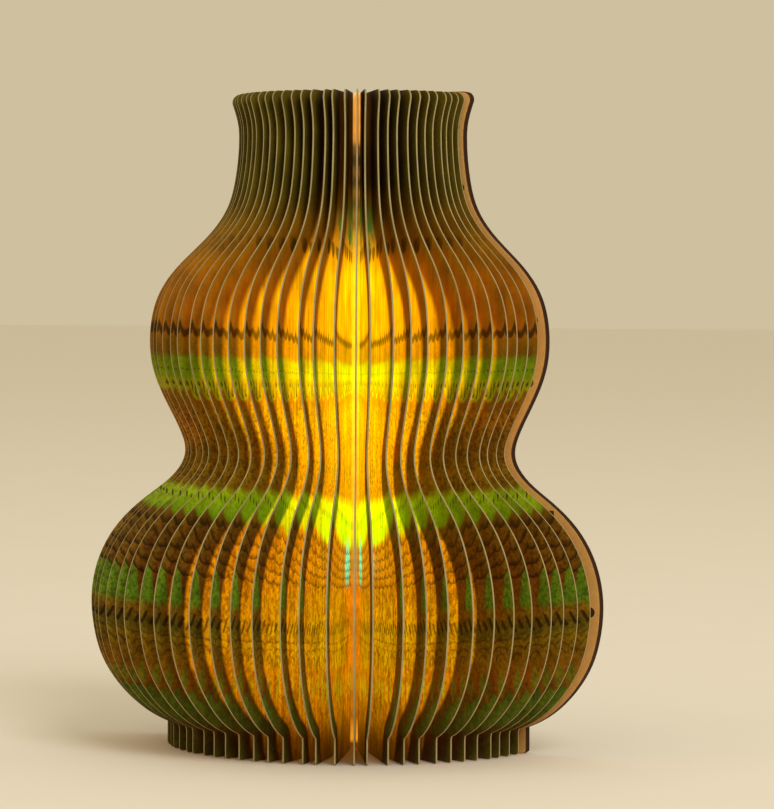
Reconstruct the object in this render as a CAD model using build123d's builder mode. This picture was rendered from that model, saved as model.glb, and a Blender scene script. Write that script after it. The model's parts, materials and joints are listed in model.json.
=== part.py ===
from build123d import *

import os
from math import cos, radians, sin

# Folding vase lamp, in millimetres, +Z up, opened to a half circle.
# Thirty-four pages stand round an upright light bar, between two cover boards, like an open book.
# The origin is on the axis of the light bar, at the level that the lamp stands on.
# The pages fan out towards -Y, the covers lie in one plane at the back, the right one on +X.
# Every page and cover swings about its own upright hinge line. The hinge lines lie on the X axis,
# at a share of the covers' distance, so closed pages lie flat side by side.

os.makedirs("parts", exist_ok=True)

# Vase outline: the height of each swell and hollow above the one before it, and its reach,
# which is the distance from the page's hinge line to its outer edge.
foot_height = 11.5
belly_rise = 56.5
waist_rise = 66.5
shoulder_rise = 53.0
neck_rise = 90.5
lip_rise = 22.0
foot_reach = 73.5
belly_reach = 108.8
waist_reach = 65.8
shoulder_reach = 82.2
neck_reach = 41.4
lip_reach = 46.3
top_corner_radius = 3.5
foot_corner_radius = 1.2

# Points on each slope between a swell and a hollow: the share of the climb, the share of the
# change of reach.
belly_slope = [(0.15, 0.41), (0.33, 0.68), (0.52, 0.86), (0.76, 0.97)]
waist_slope = [(0.29, 0.09), (0.52, 0.30), (0.70, 0.60), (0.83, 0.85)]
shoulder_slope = [(0.20, 0.15), (0.45, 0.55), (0.76, 0.93)]
neck_slope = [(0.22, 0.10), (0.36, 0.31), (0.53, 0.68), (0.67, 0.88), (0.82, 0.965)]
lip_slope = [(0.30, 0.06), (0.62, 0.40)]

# Pages and covers
page_count = 34
page_thickness = 0.7
page_top_drop = 0.8
page_clearance = 0.44
light_gap = 0.2
glue_margin = 8.0
cover_thickness = 4.5
cover_overhang = 1.0
lining_thickness = 0.5
lining_inset = 0.4
covers_apart_folded_back = 0.4
spacing_wobble = 0.085

# Magnets in the covers, seen through holes in the lining
magnet_heights = [65.0, 168.0, 196.0, 256.0, 284.0]
magnet_diameter = 4.0
magnet_thickness = 2.0
magnet_from_edge = 4.6
block_magnet_height = 107.5
block_magnet_width = 5.0
block_magnet_length = 5.0
block_magnet_from_edge = 7.0
magnet_clearance = 0.05
lining_hole_margin = 0.3

# Paper pleat and cloth hinges
bellows_thickness = 0.5
bellows_gap = 0.3
bar_to_bellows = 0.3
bellows_steps = 24
cloth_thickness = 0.5
cloth_gap = 0.2
cloth_slack = 3.6

# Light bar
bar_back = 10.0
bar_wall = 1.5
diffuser_depth = 5.9
diffuser_wall = 1.2
diffuser_leg = 1.3
slide_clearance = 0.2
cap_floor = 3.0
cap_roof = 2.0
top_drop = 2.0
cap_boss_radius = 2.1
cap_wall = 1.4
led_board_thickness = 1.2
led_board_recess = 1.5
led_board_end_gap = 4.0
rib_width = 1.2
rib_depth = 1.0
led_length = 3.5
led_width = 2.8
led_height = 0.8
led_pitch = 10.0

# Screws: M2 through the cap floors into the channel's screw ports
screw_diameter = 2.0
screw_bite = 5.0
screw_head_diameter = 3.8
screw_head_height = 1.1
screw_clearance = 0.1
port_wall = 0.7
port_from_side = 2.9
port_from_back = 2.9

# Battery: two 10440 cells on the bar's axis
cell_diameter = 10.0
cell_length = 44.5
cell_count = 2
cell_from_back = 0.2
cell_to_board = 0.6
cell_to_rail = 0.6
cell_gap = 0.2
holder_wall = 1.5
holder_rail_width = 1.7
holder_rail_depth = 4.0
holder_bottom = 108.0

# Charging board with its USB-C socket, which faces the back
usb_width = 8.94
usb_height = 3.16
usb_depth = 7.35
usb_wall = 0.3
usb_tongue = 0.7
usb_tongue_depth = 5.0
usb_tongue_margin = 1.1
usb_cut_clearance = 0.15
usb_centre_height = 30.0
charge_board_thickness = 1.0
charge_board_bottom = 13.0
charge_board_length = 40.0
charge_board_from_back = 2.2
charge_board_depth = 9.0
board_post_width = 3.4
board_slot_depth = 3.0

# Power button, tact switch and its board, in the top cap
button_diameter = 8.0
button_proud = 0.9
button_flange_radius = 4.9
button_flange = 1.0
button_clearance = 0.2
button_travel = 0.6
button_seat_gap = 0.1
switch_board_thickness = 1.0
switch_board_rise = 1.2
switch_side = 6.0
switch_height = 3.5
plunger_diameter = 3.4
plunger_clearance = 0.05
plunger_sink = 1.2
plunger_height = 1.2

# Leads
lead_diameter = 1.2
lead_gap = 0.3
lead_from_side = 0.9
lead_from_axis = 4.4

# Worked out from the values above
lamp_height = foot_height + belly_rise + waist_rise + shoulder_rise + neck_rise + lip_rise
page_height = lamp_height - page_top_drop
closed_stack = (page_count + 1) * (page_thickness + page_clearance)
hinge_reach = closed_stack / 4 + cover_thickness / 2 + covers_apart_folded_back / 4
fan_offset = closed_stack / 2 - hinge_reach
inner_half = cell_diameter / 2 + cell_to_rail + holder_rail_width + slide_clearance
half_width = inner_half + bar_wall
inner_back = bar_back - bar_wall
cell_axis = inner_back - cell_from_back - cell_diameter / 2
board_back = cell_axis - cell_diameter / 2 - cell_to_board
board_front = board_back - led_board_thickness
bar_shoulder = board_front - led_board_recess
bar_front = bar_shoulder - diffuser_depth
inner_reach = bar_to_bellows + bellows_thickness + bellows_gap - bar_front
button_stack = plunger_height + button_flange + button_seat_gap + cap_roof
cap_height = switch_board_rise + switch_board_thickness + switch_height + button_stack
channel_bottom = cap_height
cap_top = lamp_height - top_drop
channel_top = cap_top - cap_height
port_x = half_width - port_from_side
port_y = bar_back - port_from_back
port_radius = screw_diameter / 2 + screw_clearance / 2
screw_length = cap_height + screw_bite


def page_share(number):
    """Where a page stands in the fan, from -1 at the left cover to 1 at the right cover."""
    wobble = sin(2.1 * number) + 0.8 * sin(3.7 * number + 1.0)
    return (2 * number - page_count - 1 + 2 * spacing_wobble * wobble) / (page_count + 1)


def fan_plane(share, offset=0.0):
    """Upright plane through a hinge line: its X runs outwards along the page, its Y upwards.
    The offset moves it away from the middle of the book."""
    angle = radians(90 * share)
    along = Vector(sin(angle), -cos(angle), 0)
    across = Vector(cos(angle), sin(angle), 0)
    origin = Vector(share * hinge_reach, 0, 0) + across * offset
    return Plane(origin=origin, x_dir=along, z_dir=-across)


def outline_points(spread):
    """Points up the outer edge of the vase, from the corner above the foot to the lip."""
    climbs = [belly_rise, waist_rise, shoulder_rise, neck_rise, lip_rise]
    reaches = [foot_reach, belly_reach, waist_reach, shoulder_reach, neck_reach, lip_reach]
    slopes = [belly_slope, waist_slope, shoulder_slope, neck_slope, lip_slope]
    points = [(foot_reach + spread, foot_height)]
    height = foot_height
    for climb, low, high, slope in zip(climbs, reaches, reaches[1:], slopes):
        for up, out in slope + [(1, 1)]:
            points.append((low + (high - low) * out + spread, height + climb * up))
        height += climb
    return points


def reach_at(height, spread):
    """Reach of the outline at a height, between the nearest of its points."""
    points = outline_points(spread)
    for (low_reach, low), (high_reach, high) in zip(points, points[1:]):
        if low <= height <= high:
            return low_reach + (high_reach - low_reach) * (height - low) / (high - low)
    return foot_reach + spread


def half_vase(spread, inner, bottom, top):
    """Half the vase's silhouette, from an inner upright edge to the outline."""
    points = outline_points(spread)
    with BuildSketch() as silhouette:
        with BuildLine():
            edge = Spline(*points)
            Polyline(edge @ 1, (inner, lamp_height), (inner, 0), (foot_reach + spread, 0), edge @ 0)
        make_face()
        with Locations(((inner + belly_reach) / 2, (bottom + top) / 2)):
            Rectangle(3 * belly_reach, top - bottom, mode=Mode.INTERSECT)
    return silhouette.sketch


def rounded_half_vase(spread, inner, top):
    """Half the vase with its outer corners rounded, as a page or a cover board is cut."""
    with BuildSketch() as silhouette:
        add(half_vase(spread, inner, 0, top))
        corners = silhouette.vertices()
        fillet(corners.group_by(Axis.Y)[-1].sort_by(Axis.X)[-1], top_corner_radius)
        fillet(silhouette.vertices().group_by(Axis.Y)[0].sort_by(Axis.X)[-1], foot_corner_radius)
    return silhouette.sketch


def save(piece, name):
    piece.part.label = name
    export_step(piece.part, f"parts/{name}.step")


# Pages: two sheets glued together along their outer margin, with a thin gap inside that is open
# to the light bar, so the light enters between the sheets.
page_outline = rounded_half_vase(0, inner_reach, page_height)
pocket_outline = half_vase(-glue_margin, inner_reach - glue_margin, glue_margin, page_height - glue_margin)

with BuildPart() as flat_page:
    with BuildSketch(Plane.XY.offset(-page_thickness / 2)):
        add(page_outline)
    extrude(amount=page_thickness)
    with BuildSketch(Plane.XY.offset(-light_gap / 2)):
        add(pocket_outline)
    extrude(amount=light_gap, mode=Mode.SUBTRACT)

for number in range(1, page_count + 1):
    share = page_share(number)
    with BuildPart() as page:
        add(flat_page.part.moved(fan_plane(share, share * fan_offset).location))
    save(page, f"page_{number:02d}")


# Cover boards, their linings and their magnets. The lining faces the pages.
lining_plane = fan_plane(1, fan_offset)
board_plane = fan_plane(1, fan_offset + lining_thickness)
cover_outline = rounded_half_vase(cover_overhang, inner_reach, lamp_height)
magnet_places = [
    (reach_at(height, cover_overhang) - magnet_from_edge, height) for height in magnet_heights
]
block_place = (
    reach_at(block_magnet_height, cover_overhang) - block_magnet_from_edge,
    block_magnet_height,
)
pocket_depth = magnet_thickness + magnet_clearance

with BuildPart() as right_cover:
    with BuildSketch(board_plane):
        add(cover_outline)
    extrude(amount=-(cover_thickness - lining_thickness))
    with BuildSketch(board_plane):
        with Locations(*magnet_places):
            Circle(magnet_diameter / 2 + magnet_clearance)
        with Locations(block_place):
            Rectangle(
                block_magnet_width + 2 * magnet_clearance,
                block_magnet_length + 2 * magnet_clearance,
            )
    extrude(amount=-pocket_depth, mode=Mode.SUBTRACT)
save(right_cover, "right_cover")

with BuildPart() as left_cover:
    mirror(right_cover.part, about=Plane.YZ)
save(left_cover, "left_cover")

with BuildPart() as right_cover_lining:
    with BuildSketch(lining_plane):
        add(rounded_half_vase(cover_overhang - lining_inset, inner_reach, lamp_height - lining_inset))
        with Locations(*magnet_places):
            Circle(magnet_diameter / 2 + lining_hole_margin, mode=Mode.SUBTRACT)
        with Locations(block_place):
            Rectangle(
                block_magnet_width + 2 * lining_hole_margin,
                block_magnet_length + 2 * lining_hole_margin,
                mode=Mode.SUBTRACT,
            )
    extrude(amount=-lining_thickness)
save(right_cover_lining, "right_cover_lining")

with BuildPart() as left_cover_lining:
    mirror(right_cover_lining.part, about=Plane.YZ)
save(left_cover_lining, "left_cover_lining")

with BuildPart() as right_cover_magnets:
    with BuildSketch(board_plane):
        with Locations(*magnet_places):
            Circle(magnet_diameter / 2)
        with Locations(block_place):
            Rectangle(block_magnet_width, block_magnet_length)
    extrude(amount=-magnet_thickness)
save(right_cover_magnets, "right_cover_magnets")

with BuildPart() as left_cover_magnets:
    mirror(right_cover_magnets.part, about=Plane.YZ)
save(left_cover_magnets, "left_cover_magnets")


# Pleated paper that joins the inner edges of the pages, from cover to cover, round the front of
# the light bar.
def inner_edge_point(share, short_of_edge):
    """Point just inside the inner edge of a page that stands at this share of the fan."""
    plane = fan_plane(share, share * fan_offset)
    return plane.origin + plane.x_dir * (inner_reach - short_of_edge)


outer_face = [
    inner_edge_point(-1 + 2 * step / bellows_steps, bellows_gap) for step in range(bellows_steps + 1)
]
inner_face = [
    inner_edge_point(-1 + 2 * step / bellows_steps, bellows_gap + bellows_thickness)
    for step in range(bellows_steps + 1)
]
with BuildPart() as spine_bellows:
    with BuildSketch():
        with BuildLine():
            Polyline(*outer_face, *reversed(inner_face), close=True)
        make_face()
    extrude(amount=page_height)
save(spine_bellows, "spine_bellows")

# Cloth hinges: a slack strip from the back corner of the light bar to the inner edge of a cover.
cloth_start = half_width + cloth_gap
cloth_end = hinge_reach + inner_reach - cloth_gap
cloth_back = bar_back
cloth_middle = (cloth_start + cloth_end) / 2

with BuildPart() as right_hinge_cloth:
    with BuildSketch():
        with BuildLine():
            back_face = ThreePointArc(
                (cloth_start, cloth_back),
                (cloth_middle, cloth_back - cloth_slack),
                (cloth_end, cloth_back),
            )
            front_face = ThreePointArc(
                (cloth_start, cloth_back - cloth_thickness),
                (cloth_middle, cloth_back - cloth_slack - cloth_thickness),
                (cloth_end, cloth_back - cloth_thickness),
            )
            Line(back_face @ 0, front_face @ 0)
            Line(back_face @ 1, front_face @ 1)
        make_face()
    extrude(amount=page_height)
save(right_hinge_cloth, "right_hinge_cloth")

with BuildPart() as left_hinge_cloth:
    mirror(right_hinge_cloth.part, about=Plane.YZ)
save(left_hinge_cloth, "left_hinge_cloth")


# Light bar: an extruded channel, open at the front, with ribs for the LED board and screw ports
# in its back corners.
def bar_outline(inset):
    """Cross-section of the whole bar, with its rounded front, drawn in by an inset."""
    with BuildSketch() as section:
        with BuildLine():
            front = ThreePointArc(
                (half_width - inset, bar_shoulder),
                (0, bar_front + inset),
                (inset - half_width, bar_shoulder),
            )
            Polyline(
                front @ 1,
                (inset - half_width, bar_back - inset),
                (half_width - inset, bar_back - inset),
                front @ 0,
            )
        make_face()
    return section.sketch


with BuildPart() as bar_channel:
    with BuildSketch(Plane.XY.offset(channel_bottom)) as channel_section:
        with Locations((0, (bar_back + bar_shoulder) / 2)):
            Rectangle(2 * half_width, bar_back - bar_shoulder)
        with Locations((0, (inner_back + bar_shoulder) / 2)):
            Rectangle(2 * inner_half, inner_back - bar_shoulder, mode=Mode.SUBTRACT)
        with Locations(
            (inner_half - rib_width / 2, board_back + rib_depth / 2),
            (rib_width / 2 - inner_half, board_back + rib_depth / 2),
        ):
            Rectangle(rib_width, rib_depth)
        with Locations((port_x, port_y), (-port_x, port_y)):
            Circle(port_radius + port_wall)
            Circle(port_radius, mode=Mode.SUBTRACT)
    extrude(amount=channel_top - channel_bottom)
    with BuildSketch(Plane.XZ.offset(-bar_back)):
        with Locations((0, usb_centre_height)):
            SlotOverall(
                usb_width + 2 * usb_cut_clearance, usb_height + 2 * usb_cut_clearance, rotation=90
            )
    extrude(amount=bar_wall, mode=Mode.SUBTRACT)
save(bar_channel, "bar_channel")

leg_outer = inner_half - slide_clearance
leg_inner = leg_outer - diffuser_leg
leg_back = board_front - slide_clearance
with BuildPart() as light_diffuser:
    with BuildSketch(Plane.XY.offset(channel_bottom)):
        with BuildLine():
            outside = ThreePointArc(
                (half_width, bar_shoulder), (0, bar_front), (-half_width, bar_shoulder)
            )
            inside = ThreePointArc(
                (leg_inner, bar_shoulder),
                (0, bar_front + diffuser_wall),
                (-leg_inner, bar_shoulder),
            )
            for side in (1, -1):
                Polyline(
                    (side * half_width, bar_shoulder),
                    (side * leg_outer, bar_shoulder),
                    (side * leg_outer, leg_back),
                    (side * leg_inner, leg_back),
                    (side * leg_inner, bar_shoulder),
                )
        make_face()
    extrude(amount=channel_top - channel_bottom)
save(light_diffuser, "light_diffuser")

# LED board and its chips
led_board_bottom = channel_bottom + led_board_end_gap
led_board_top = channel_top - led_board_end_gap
led_count = int((led_board_top - led_board_bottom - led_length) // led_pitch) + 1
with BuildPart() as led_board:
    with BuildSketch(Plane.XZ.offset(-board_back)):
        with Locations((0, (led_board_bottom + led_board_top) / 2)):
            Rectangle(2 * (inner_half - slide_clearance), led_board_top - led_board_bottom)
    extrude(amount=led_board_thickness)
save(led_board, "led_board")

with BuildPart() as led_chips:
    with BuildSketch(Plane.XZ.offset(-board_front)):
        with Locations((0, (led_board_bottom + led_board_top) / 2)):
            with GridLocations(led_pitch, led_pitch, 1, led_count):
                Rectangle(led_width, led_length)
    extrude(amount=led_height)
save(led_chips, "led_chips")


# Battery cells and their holder
cell_bottoms = [
    holder_bottom + holder_wall + cell_gap + step * (cell_length + holder_wall + 2 * cell_gap)
    for step in range(cell_count)
]
holder_top = cell_bottoms[-1] + cell_length + cell_gap + holder_wall

with BuildPart() as battery_cells:
    for bottom in cell_bottoms:
        with BuildSketch(Plane.XY.offset(bottom)):
            with Locations((0, cell_axis)):
                Circle(cell_diameter / 2)
        extrude(amount=cell_length)
    fillet(battery_cells.edges().filter_by(GeomType.CIRCLE), 0.6)
save(battery_cells, "battery_cells")

holder_front = board_back + rib_depth + slide_clearance
holder_back = inner_back - slide_clearance
lead_x = inner_half - lead_from_side
notch_low = lead_from_axis - lead_diameter / 2 - slide_clearance
notch_height = port_y - notch_low
notch_middle = (notch_low + port_y) / 2
with BuildPart() as battery_holder:
    with BuildSketch(Plane.XY.offset(holder_bottom)):
        with Locations((0, (holder_front + holder_back) / 2)):
            Rectangle(2 * (inner_half - slide_clearance), holder_back - holder_front)
        with Locations((port_x, port_y), (-port_x, port_y)):
            Circle(port_radius + port_wall + slide_clearance, mode=Mode.SUBTRACT)
        with Locations((lead_x, notch_middle), (-lead_x, notch_middle)):
            Rectangle(2 * lead_from_side, notch_height, mode=Mode.SUBTRACT)
    extrude(amount=holder_top - holder_bottom)
    for bottom in cell_bottoms:
        with BuildSketch(Plane.XY.offset(bottom - cell_gap)):
            with Locations((0, (holder_front + holder_back) / 2)):
                Rectangle(
                    2 * (inner_half - slide_clearance - holder_rail_width),
                    2 * (holder_back - holder_front),
                )
            with Locations((0, holder_front + holder_rail_depth + half_width)):
                Rectangle(2 * half_width, 2 * half_width)
        extrude(amount=cell_length + 2 * cell_gap, mode=Mode.SUBTRACT)
save(battery_holder, "battery_holder")


# Charging board, which stands in a slot of the bottom cap, and its socket, flush with the back
board_face = -usb_height / 2
charge_board_back = bar_back - charge_board_from_back
with BuildPart() as charge_board:
    with BuildSketch(Plane.YZ.offset(board_face)):
        with Locations(
            (
                charge_board_back - charge_board_depth / 2,
                charge_board_bottom + charge_board_length / 2,
            )
        ):
            Rectangle(charge_board_depth, charge_board_length)
    extrude(amount=-charge_board_thickness)
save(charge_board, "charge_board")

with BuildPart() as usb_c_socket:
    with BuildSketch(Plane.XZ.offset(-bar_back)) as shell_section:
        with Locations((0, usb_centre_height)):
            SlotOverall(usb_width, usb_height, rotation=90)
    extrude(amount=usb_depth)
    with BuildSketch(Plane.XZ.offset(-bar_back)):
        with Locations((0, usb_centre_height)):
            SlotOverall(usb_width - 2 * usb_wall, usb_height - 2 * usb_wall, rotation=90)
    extrude(amount=usb_depth - usb_wall, mode=Mode.SUBTRACT)
    with BuildSketch(Plane.XZ.offset(usb_depth - bar_back)):
        with Locations((0, usb_centre_height)):
            Rectangle(usb_tongue, usb_width - 2 * usb_tongue_margin)
    extrude(amount=-(usb_wall + usb_tongue_depth))
save(usb_c_socket, "usb_c_socket")


# End caps: cups with the bar's cross-section, their rims against the channel and the diffuser
def cap_cup(bottom, floor_side):
    """A cup over the end of the bar. The floor side is -1 for the lower cap, 1 for the upper."""
    floor = cap_floor if floor_side < 0 else cap_roof
    hollow_bottom = bottom + floor if floor_side < 0 else bottom
    with BuildPart() as cup:
        with BuildSketch(Plane.XY.offset(bottom)):
            add(bar_outline(0))
        extrude(amount=cap_height)
        with BuildSketch(Plane.XY.offset(hollow_bottom)):
            add(bar_outline(cap_wall))
            with Locations((port_x, port_y), (-port_x, port_y)):
                Circle(cap_boss_radius, mode=Mode.SUBTRACT)
        extrude(amount=cap_height - floor, mode=Mode.SUBTRACT)
        with BuildSketch(Plane.XY.offset(bottom)):
            with Locations((port_x, port_y), (-port_x, port_y)):
                Circle(port_radius)
        extrude(amount=cap_height, mode=Mode.SUBTRACT)
    return cup.part


head_radius = screw_head_diameter / 2 + screw_clearance
head_depth = screw_head_height + screw_clearance

slot_half = charge_board_thickness / 2 + slide_clearance / 2
board_middle = board_face - charge_board_thickness / 2
post_depth = charge_board_depth - slide_clearance
with BuildPart() as bottom_cap:
    add(cap_cup(0, -1))
    with BuildSketch():
        with Locations((port_x, port_y), (-port_x, port_y)):
            Circle(head_radius)
    extrude(amount=head_depth, mode=Mode.SUBTRACT)
    with BuildSketch(Plane.XY.offset(cap_floor)):
        with Locations((board_middle, charge_board_back - charge_board_depth / 2)):
            Rectangle(board_post_width, post_depth / 2)
    extrude(amount=charge_board_bottom + board_slot_depth - cap_floor)
    with BuildSketch(Plane.XY.offset(charge_board_bottom)):
        with Locations((board_middle, charge_board_back - charge_board_depth / 2)):
            Rectangle(2 * slot_half, charge_board_depth)
    extrude(amount=board_slot_depth, mode=Mode.SUBTRACT)
save(bottom_cap, "bottom_cap")

button_y = (inner_back + bar_front) / 2
roof_under = cap_top - cap_roof
switch_board_bottom = channel_top + switch_board_rise
switch_board_top = switch_board_bottom + switch_board_thickness
with BuildPart() as top_cap:
    add(cap_cup(channel_top, 1))
    with BuildSketch(Plane.XY.offset(cap_top - head_depth)):
        with Locations((port_x, port_y), (-port_x, port_y)):
            Circle(head_radius)
    extrude(amount=head_depth, mode=Mode.SUBTRACT)
    with BuildSketch(Plane.XY.offset(roof_under)):
        with Locations((0, button_y)):
            Circle(button_diameter / 2 + button_clearance)
    extrude(amount=cap_roof, mode=Mode.SUBTRACT)
    with BuildSketch(Plane.XY.offset(switch_board_top)):
        add(bar_outline(cap_wall))
        with Locations((0, button_y)):
            Circle(button_flange_radius + 2 * button_clearance, mode=Mode.SUBTRACT)
    extrude(amount=roof_under - switch_board_top)
    with BuildSketch(Plane.XY.offset(cap_top - cap_height)):
        with Locations((port_x, port_y), (-port_x, port_y)):
            Circle(port_radius)
    extrude(amount=cap_height, mode=Mode.SUBTRACT)
save(top_cap, "top_cap")

with BuildPart() as switch_board:
    with BuildSketch(Plane.XY.offset(switch_board_bottom)):
        add(bar_outline(cap_wall + slide_clearance))
        with Locations((port_x, port_y), (-port_x, port_y)):
            Circle(cap_boss_radius + slide_clearance, mode=Mode.SUBTRACT)
    extrude(amount=switch_board_thickness)
save(switch_board, "switch_board")

switch_top = switch_board_top + switch_height
flange_under = roof_under - button_seat_gap - button_flange
plunger_bottom = switch_top - plunger_sink
with BuildPart() as tact_switch:
    with BuildSketch(Plane.XY.offset(switch_board_top)):
        with Locations((0, button_y)):
            Rectangle(switch_side, switch_side)
    extrude(amount=switch_height)
    with BuildSketch(Plane.XY.offset(plunger_bottom - button_travel - button_seat_gap)):
        with Locations((0, button_y)):
            Circle(plunger_diameter / 2 + plunger_clearance)
    extrude(amount=plunger_sink + button_travel + button_seat_gap, mode=Mode.SUBTRACT)
save(tact_switch, "tact_switch")

with BuildPart() as switch_plunger:
    with BuildSketch(Plane.XY.offset(plunger_bottom)):
        with Locations((0, button_y)):
            Circle(plunger_diameter / 2)
    extrude(amount=flange_under - plunger_bottom)
save(switch_plunger, "switch_plunger")

with BuildPart() as power_button:
    with BuildSketch(Plane.XY.offset(flange_under)):
        with Locations((0, button_y)):
            Circle(button_flange_radius)
    extrude(amount=button_flange)
    with BuildSketch(Plane.XY.offset(flange_under)):
        with Locations((0, button_y)):
            Circle(button_diameter / 2)
    extrude(amount=cap_top + button_proud - flange_under)
    rim = power_button.edges().filter_by(GeomType.CIRCLE).sort_by(Axis.Z)[-1]
    fillet(rim, 0.5)
save(power_button, "power_button")


# Cap screws: shank through the cap's boss into the channel's port, head sunk in the cap
with BuildPart() as cap_screws:
    for head_end, inwards in ((screw_clearance, 1), (cap_top - screw_clearance, -1)):
        with BuildSketch(Plane.XY.offset(head_end)):
            with Locations((port_x, port_y), (-port_x, port_y)):
                Circle(screw_head_diameter / 2)
        extrude(amount=inwards * screw_head_height)
        with BuildSketch(Plane.XY.offset(head_end)):
            with Locations((port_x, port_y), (-port_x, port_y)):
                Circle(screw_diameter / 2)
        extrude(amount=inwards * screw_length)
save(cap_screws, "cap_screws")

# Leads: two from the charging board up to the cells, two on up beside them to the switch board
short_lead_x = board_face - charge_board_thickness - lead_diameter / 2 - lead_gap
short_lead_bottom = charge_board_bottom + charge_board_length - 4 * lead_diameter
with BuildPart() as leads:
    with BuildSketch(Plane.XY.offset(short_lead_bottom)):
        with Locations((short_lead_x, 0.5), (short_lead_x, 5.5)):
            Circle(lead_diameter / 2)
    extrude(amount=holder_bottom - lead_gap - short_lead_bottom)
    with BuildSketch(Plane.XY.offset(short_lead_bottom)):
        with Locations((lead_x, lead_from_axis), (-lead_x, lead_from_axis)):
            Circle(lead_diameter / 2)
    extrude(amount=switch_board_bottom - lead_gap - short_lead_bottom)
save(leads, "leads")

print(f"height {lamp_height:.1f}, widest {2 * (hinge_reach + belly_reach + cover_overhang):.1f}")
shares = [page_share(number) for number in range(1, page_count + 1)]
closed_gaps = [
    (high - low) * closed_stack / 2 - page_thickness for low, high in zip(shares, shares[1:])
]
print(f"closed gap between pages {min(closed_gaps):.2f} to {max(closed_gaps):.2f}")
print(f"first page to cover, closed {(1 + shares[0]) * closed_stack / 2 - page_thickness / 2:.2f}")
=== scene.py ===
# %% [markdown]
# # A folding vase lamp
# This lamp is a book. Thirty-four stiff leaves stand round an upright light bar, and when the two
# cover boards are opened the edges of the leaves draw a vase with two bellies. The hard parts, such
# as the bar, the boards and the magnets, come ready-made from the CAD model. This lesson makes what
# is paper and cloth, and gives every part its finish.

# %% Load the CAD model
import json

import bpy
import numpy as np
from mathutils import Matrix, Vector


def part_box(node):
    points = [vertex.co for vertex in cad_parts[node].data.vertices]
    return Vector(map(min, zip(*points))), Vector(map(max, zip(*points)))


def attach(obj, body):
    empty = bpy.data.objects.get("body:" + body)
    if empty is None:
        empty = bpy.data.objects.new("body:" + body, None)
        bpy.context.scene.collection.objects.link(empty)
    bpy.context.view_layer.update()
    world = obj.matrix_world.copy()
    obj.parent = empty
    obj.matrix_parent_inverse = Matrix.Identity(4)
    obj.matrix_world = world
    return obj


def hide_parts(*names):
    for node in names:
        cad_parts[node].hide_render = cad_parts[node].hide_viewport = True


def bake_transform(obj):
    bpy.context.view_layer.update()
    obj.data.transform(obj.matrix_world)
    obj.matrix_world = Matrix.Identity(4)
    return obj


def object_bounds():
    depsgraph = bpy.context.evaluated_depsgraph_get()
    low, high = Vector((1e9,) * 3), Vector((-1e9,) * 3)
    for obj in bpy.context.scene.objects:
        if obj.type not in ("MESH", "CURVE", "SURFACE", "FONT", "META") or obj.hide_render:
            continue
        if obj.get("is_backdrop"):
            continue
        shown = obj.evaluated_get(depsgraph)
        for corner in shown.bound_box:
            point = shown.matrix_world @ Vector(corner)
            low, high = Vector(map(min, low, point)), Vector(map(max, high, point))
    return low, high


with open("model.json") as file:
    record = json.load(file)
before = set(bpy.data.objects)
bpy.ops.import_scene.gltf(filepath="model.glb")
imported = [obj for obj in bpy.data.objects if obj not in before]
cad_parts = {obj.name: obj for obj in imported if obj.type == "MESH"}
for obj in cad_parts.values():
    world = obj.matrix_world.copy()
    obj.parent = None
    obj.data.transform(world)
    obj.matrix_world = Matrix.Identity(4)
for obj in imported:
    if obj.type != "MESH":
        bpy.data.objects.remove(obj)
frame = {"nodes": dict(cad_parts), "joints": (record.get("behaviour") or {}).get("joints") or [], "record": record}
bpy.context.view_layer.update()
cad_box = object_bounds()

# %% [markdown]
# ## Three helpers
# Colours are picked as sRGB hex, the way a colour picker shows them, and shaders want linear light, so the
# first function turns the one into the other. The second sets the inputs of a node, and the third adds a node
# with its settings and inputs, for material trees and geometry trees alike. A node given as a value is linked
# from its first output in use.


# %% Colour and node helpers
def linear(hex_colour):
    """Linear RGBA of an sRGB hex colour such as "a05a00"."""
    parts = [int(hex_colour[i : i + 2], 16) / 255 for i in (0, 2, 4)]
    return [c / 12.92 if c <= 0.04045 else ((c + 0.055) / 1.055) ** 2.4 for c in parts] + [1.0]


def set_inputs(node, inputs):
    """Gives each of these inputs a value, or a link from a socket or a node."""
    for key, value in inputs.items():
        if isinstance(value, bpy.types.Node):
            value = next(o for o in value.outputs if o.enabled)
        if isinstance(value, bpy.types.NodeSocket):
            node.id_data.links.new(value, node.inputs[key])
        else:
            node.inputs[key].default_value = value


def add_node(tree, kind, inputs=None, **settings):
    """Adds a node with its settings and inputs."""
    node = tree.nodes.new(kind)
    for name, value in settings.items():
        setattr(node, name, value)
    set_inputs(node, inputs or {})
    return node


# %% [markdown]
# ## Camera
# The photograph was taken from a little to the right, from 1.6 m away and a hand above the middle.
# Corners of the outline, measured in the picture and in the CAD model, gave the distance and the
# lens. A camera looks down its own -Z, so its axes are built from the direction back to the camera.

# %% Place the camera
azimuth, elevation, roll = np.radians([23.495, 1.49, 0.256])
aim_to_the_right, aim_height, distance = 0.01904, 0.15707, 1.6436
lens_mm, sensor_mm = 159.07, 36
back = Vector((np.sin(azimuth) * np.cos(elevation), -np.cos(azimuth) * np.cos(elevation), np.sin(elevation)))
level = Vector((np.cos(azimuth), np.sin(azimuth), 0))
upright = back.cross(level)
across = level * np.cos(roll) + upright * np.sin(roll)
up = upright * np.cos(roll) - level * np.sin(roll)
eye = level * aim_to_the_right + Vector((0, 0, aim_height)) + back * distance

camera = bpy.data.objects.new("camera", bpy.data.cameras.new("camera"))
camera.data.lens, camera.data.sensor_width = lens_mm, sensor_mm
camera.matrix_world = Matrix.Translation(eye) @ Matrix((across, up, back)).transposed().to_4x4()
bpy.context.scene.collection.objects.link(camera)
bpy.context.scene.camera = camera
bpy.context.scene.view_settings.view_transform = "Standard"
print("camera at", [round(v, 3) for v in eye])

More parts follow.
